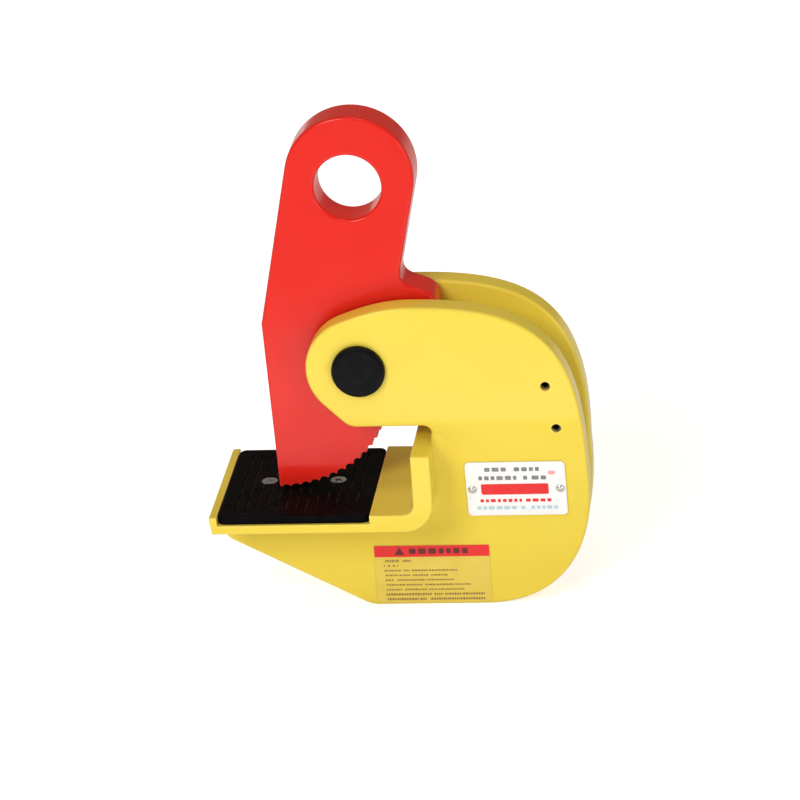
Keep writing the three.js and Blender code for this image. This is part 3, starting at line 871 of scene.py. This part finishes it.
def bend_welds():
    """Smooth painted fillets between each cheek and the base plate's bend and upright."""
    wide, high, steps = 9 * MM, 6.5 * MM, 9
    for name, side in (("front", -1), ("rear", 1)):
        profile = surface_profile(f"{name}_cheek", side)
        bm = bmesh.new()
        rings = []
        for spot, out, size in bend_path():
            ring = []
            for k in range(steps + 1):
                angle = math.pi / 2 * k / steps
                point = spot + out * (wide * size * (1 - math.sin(angle)) - 0.3 * MM)
                rise = high * size * (1 - math.cos(angle)) - 0.05 * MM
                point.y = follow(profile, point.z) + side * rise
                ring.append(bm.verts.new(point))
            root = spot - out * 0.3 * MM
            root.y = follow(profile, root.z) - side * 0.6 * MM
            ring.append(bm.verts.new(root))
            rings.append(ring)
        count = len(rings[0])
        for one, two in zip(rings, rings[1:]):
            for k in range(count):
                n = (k + 1) % count
                bm.faces.new((one[k], one[n], two[n], two[k]))
        bm.faces.new(list(reversed(rings[0])))
        bm.faces.new(rings[-1])
        bmesh.ops.recalc_face_normals(bm, faces=bm.faces)
        mark_corners(bm)
        weigh_normals(new_object(f"bend_fillet_{name}", bm, [WELD_YELLOW], BODY))


def seam_weld():
    """The bead that closes the two cheeks along the bottom and up the back."""
    mesh = NODES["front_cheek"].data
    seam = max(v.co.y for v in mesh.vertices)
    spots = {}
    for v in mesh.vertices:
        if abs(v.co.y - seam) < 0.01 * MM:
            away = Vector((v.co.x, 0, v.co.z)) - SEAM_CENTRE
            angle = math.atan2(away.z, away.x)
            if SEAM_START < angle < SEAM_END and away.length > SEAM_REACH:
                spots[round(angle, 4)] = Vector((v.co.x, 0, v.co.z))
    path = [spots[key] for key in sorted(spots)]
    outs = [(p - SEAM_CENTRE).normalized() for p in path]
    path = [p - out * 0.9 * SEAM_RADIUS for p, out in zip(path, outs)]
    bead("seam_bead", path, outs, SEAM_RADIUS)


base_welds()
bend_welds()
seam_weld()


# ---- printed marks ----
def face_of(node):
    """Origin, across, up and outward directions on the front face of a flat node."""
    mesh = NODES[node].data
    outward = Vector()
    for polygon in mesh.polygons:
        if polygon.normal.y < -0.5:
            outward += polygon.normal * polygon.area
    outward.normalize()
    across_face = Vector((1, 0, 0))
    up = outward.cross(across_face)
    centre = MIDDLES[node]
    lift = max((v.co - centre).dot(outward) for v in mesh.vertices)
    return centre + outward * lift, across_face, up, outward


class Print:
    """Flat printed shapes on one face, gathered into one slim raised mesh."""

    def __init__(self, node, materials):
        self.origin, self.u, self.v, self.n = face_of(node)
        self.bm = bmesh.new()
        self.materials = materials
        self.thick = 0.06 * MM

    def place(self, u, v, lift):
        """Where a (u, v) pair in millimetres lies, lifted off the face."""
        return self.origin + self.u * (u * MM) + self.v * (v * MM) + self.n * lift

    def shape(self, outline, material):
        """A closed prism over an outline of (u, v) pairs in millimetres."""
        index = self.materials.index(material)
        low = [self.bm.verts.new(self.place(u, v, -0.02 * MM)) for u, v in outline]
        high = [self.bm.verts.new(self.place(u, v, self.thick)) for u, v in outline]
        faces = [self.bm.faces.new(high), self.bm.faces.new(list(reversed(low)))]
        for i in range(len(outline)):
            j = (i + 1) % len(outline)
            faces.append(self.bm.faces.new((low[i], low[j], high[j], high[i])))
        for face in faces:
            face.material_index = index

    def bar(self, u0, u1, v, height, material, corner):
        """A bar from u0 to u1, centred on v, with rounded corners."""
        corner = min(corner, height / 2, (u1 - u0) / 2)
        outline = []
        for cu, cv, start in (
            (u1 - corner, v + height / 2 - corner, 0),
            (u0 + corner, v + height / 2 - corner, 90),
            (u0 + corner, v - height / 2 + corner, 180),
            (u1 - corner, v - height / 2 + corner, 270),
        ):
            for k in range(4):
                angle = math.radians(start + 30 * k)
                outline.append((cu + corner * math.cos(angle), cv + corner * math.sin(angle)))
        self.shape(outline, material)

    def dashes(self, u0, u1, v, height, material, rng, words, stroke):
        """A row of plain dashes in a few groups, standing for a line of small print."""
        gap = stroke * 0.42
        places = sorted(rng.uniform(0.12, 0.88) for _ in range(words - 1))
        ends = [u0 + (u1 - u0) * p for p in places] + [u1]
        start = u0
        for end in ends:
            u = start
            while u < end - stroke * 0.5:
                length = min(stroke * rng.uniform(0.7, 1.5), end - u)
                self.bar(u, u + length, v, height, material, corner=height * 0.22)
                u += length + gap
            start = end + stroke * 0.9

    def done(self, name):
        """Turns the gathered shapes into one piece."""
        bmesh.ops.recalc_face_normals(self.bm, faces=self.bm.faces)
        piece = new_object(name, self.bm, self.materials, BODY)
        for polygon in piece.data.polygons:
            polygon.use_smooth = False
        return piece


def nameplate_print():
    """Plain dashes and one red bar where the nameplate's lines stand."""
    rng = random.Random(SEED)
    p = Print("nameplate", [INK_GREY, INK_RED, INK_PINK, INK_BLUE])
    p.dashes(-16.5, 13.0, 12.9, 2.6, INK_GREY, rng, words=2, stroke=2.6)
    p.dashes(-20.0, 16.5, 7.3, 2.6, INK_GREY, rng, words=3, stroke=2.6)
    p.bar(17.6, 21.6, 10.4, 2.6, INK_PINK, corner=1.2)
    p.bar(-19.0, 17.5, -0.1, 7.0, INK_RED, corner=1.0)
    p.dashes(-20.0, 18.5, -7.6, 2.0, INK_RED, rng, words=2, stroke=2.4)
    p.dashes(-22.0, 22.0, -12.4, 2.2, INK_BLUE, rng, words=3, stroke=2.2)
    return p.done("nameplate_print")


def decal_print():
    """A red header with a plain triangle, and rows of dashes for the small print."""
    rng = random.Random(SEED + 1)
    p = Print("safety_decal", [INK_RED, INK_BLACK, INK_DARK])
    low, high = BOXES["safety_decal"]
    half_u = (high.x - low.x) / 2 / MM
    half_v = (high.z - low.z) / 2 / MM
    band, margin, row_pitch = 6.8, 0.2, 2.9
    centre = half_v - band / 2 - margin
    p.bar(-half_u + margin, half_u - margin, centre, band, INK_RED, corner=0.4)
    p.thick = 0.1 * MM  # the marks in the header stand on its ink
    p.shape([(-20.5, centre - 2.2), (-15.1, centre - 2.2), (-17.8, centre + 2.5)], INK_BLACK)
    p.dashes(-12.5, 20.0, centre, 3.2, INK_BLACK, rng, words=1, stroke=3.4)
    p.thick = 0.06 * MM
    rows = 9
    top = half_v - band - 2.6
    for i in range(rows):
        v = top - i * row_pitch
        bold = i in (0, rows - 2, rows - 1)
        reach = half_u - 4 if i >= rows - 2 else rng.uniform(2, half_u - 3)
        if i < 2:
            reach = -half_u + 20 - 7 * i
        height = 1.35 if bold else 0.95
        indent = 5.0 + rng.uniform(0, 1.2)
        p.dashes(-half_u + indent, reach, v, height, INK_DARK, rng, words=4, stroke=0.9)
    return p.done("safety_decal_print")


nameplate_print()
decal_print()


# ---- studio ----
FLOOR_ALBEDO = (0.80, 0.80, 0.80)
FLOOR_GLOW_LIT, FLOOR_GLOW_SEEN = 0.18, 0.62  # what the floor adds to the light, and to the picture
WORLD_LIGHT = (0.25, 0.215, 0.175, 1)
WORLD_SEEN = (0.93, 0.93, 0.93, 1)
GLOW_SIZE = (0.6, 0.22)
GLOW_PLACE = (0, -0.30, 0.003)
GLOW_POWER = 0.7


def floor():
    """A wide white floor that also glows, so that the picture's ground stays white."""
    bm = bmesh.new()
    bmesh.ops.create_grid(bm, x_segments=2, y_segments=2, size=9)
    mesh = bpy.data.meshes.new("floor")
    bm.to_mesh(mesh)
    bm.free()
    piece = bpy.data.objects.new("floor", mesh)
    bpy.context.scene.collection.objects.link(piece)
    t = Tree("floor_white")
    seen = t.nodes.new("ShaderNodeLightPath").outputs["Is Camera Ray"]
    glow = t.spread(seen, 0, 1, FLOOR_GLOW_LIT, FLOOR_GLOW_SEEN)
    t.set(Base_Color=FLOOR_ALBEDO, Roughness=0.8, Specular_IOR_Level=0.2)
    t.set(Emission_Color=(1.0, 1.0, 1.0), Emission_Strength=glow)
    mesh.materials.append(t.material)


def softbox(name, azimuth, elevation, distance, size, power, mirrored=True):
    """A square soft light that points at the middle of the clamp."""
    light = bpy.data.lights.new(name, "AREA")
    light.energy = power
    light.size = size
    lamp = bpy.data.objects.new(name, light)
    bpy.context.scene.collection.objects.link(lamp)
    a, e = math.radians(azimuth), math.radians(elevation)
    back = Vector((math.sin(a) * math.cos(e), -math.cos(a) * math.cos(e), math.sin(e)))
    target = (CAD_BOX[0] + CAD_BOX[1]) / 2
    lamp.location = target + back * distance
    lamp.rotation_euler = back.to_track_quat("Z", "Y").to_euler()
    lamp.visible_glossy = mirrored


def floor_glow():
    """Light thrown up by the bright floor in front, which the paint near the ground mirrors."""
    light = bpy.data.lights.new("glow", "AREA")
    light.shape = "RECTANGLE"
    light.size, light.size_y = GLOW_SIZE
    light.energy = GLOW_POWER
    lamp = bpy.data.objects.new("glow", light)
    bpy.context.scene.collection.objects.link(lamp)
    lamp.location = GLOW_PLACE
    lamp.rotation_euler = (math.pi, 0, 0)
    lamp.visible_camera = False


def world():
    """A dim warm surround for light and reflections, near white where the camera sees it."""
    scene_world = bpy.data.worlds.new("studio")
    bpy.context.scene.world = scene_world
    scene_world.use_nodes = True
    nodes, links = scene_world.node_tree.nodes, scene_world.node_tree.links
    back = nodes["Background"]
    path = nodes.new("ShaderNodeLightPath")
    mix = nodes.new("ShaderNodeMix")
    mix.data_type = "RGBA"
    mix.inputs[6].default_value = WORLD_LIGHT
    mix.inputs[7].default_value = WORLD_SEEN
    links.new(path.outputs["Is Camera Ray"], mix.inputs["Factor"])
    links.new(mix.outputs[2], back.inputs["Color"])
    back.inputs["Strength"].default_value = 1.0


CAMERA_AZIMUTH = 7.76
CAMERA_ELEVATION = 23.11
CAMERA_ROLL = 4.13
CAMERA_DISTANCE = 2.0749
CAMERA_LENS = 172.7


def camera():
    """Seen a little from the right and above, with a long lens held slightly tilted."""
    data = bpy.data.cameras.new("camera")
    data.lens = CAMERA_LENS
    data.sensor_width = 36
    data.clip_end = 50
    cam = bpy.data.objects.new("camera", data)
    bpy.context.scene.collection.objects.link(cam)
    a, e, r = (math.radians(x) for x in (CAMERA_AZIMUTH, CAMERA_ELEVATION, CAMERA_ROLL))
    back = Vector((math.sin(a) * math.cos(e), -math.cos(a) * math.cos(e), math.sin(e)))
    right = Vector((math.cos(a), math.sin(a), 0))
    up = back.cross(right)
    right, up = right * math.cos(r) - up * math.sin(r), right * math.sin(r) + up * math.cos(r)
    target = Vector((0.0003, 0, PAD_TOP + 47.54 * MM))
    place = target + back * CAMERA_DISTANCE
    cam.matrix_world = Matrix((
        (right.x, up.x, back.x, place.x),
        (right.y, up.y, back.y, place.y),
        (right.z, up.z, back.z, place.z),
        (0, 0, 0, 1),
    ))
    bpy.context.scene.camera = cam


floor()
softbox("rim", 128, 16, 2.8, 1.2, 10, mirrored=False)
softbox("back", 214, 12, 3.0, 1.4, 22, mirrored=False)
floor_glow()
world()
softbox("key", -24, 34, 3.0, 1.1, 41.5)
softbox("fill", 44, 7, 3.0, 1.6, 24)
softbox("top", 20, 68, 1.9, 0.6, 5)
camera()
bpy.context.scene.view_settings.view_transform = "Standard"
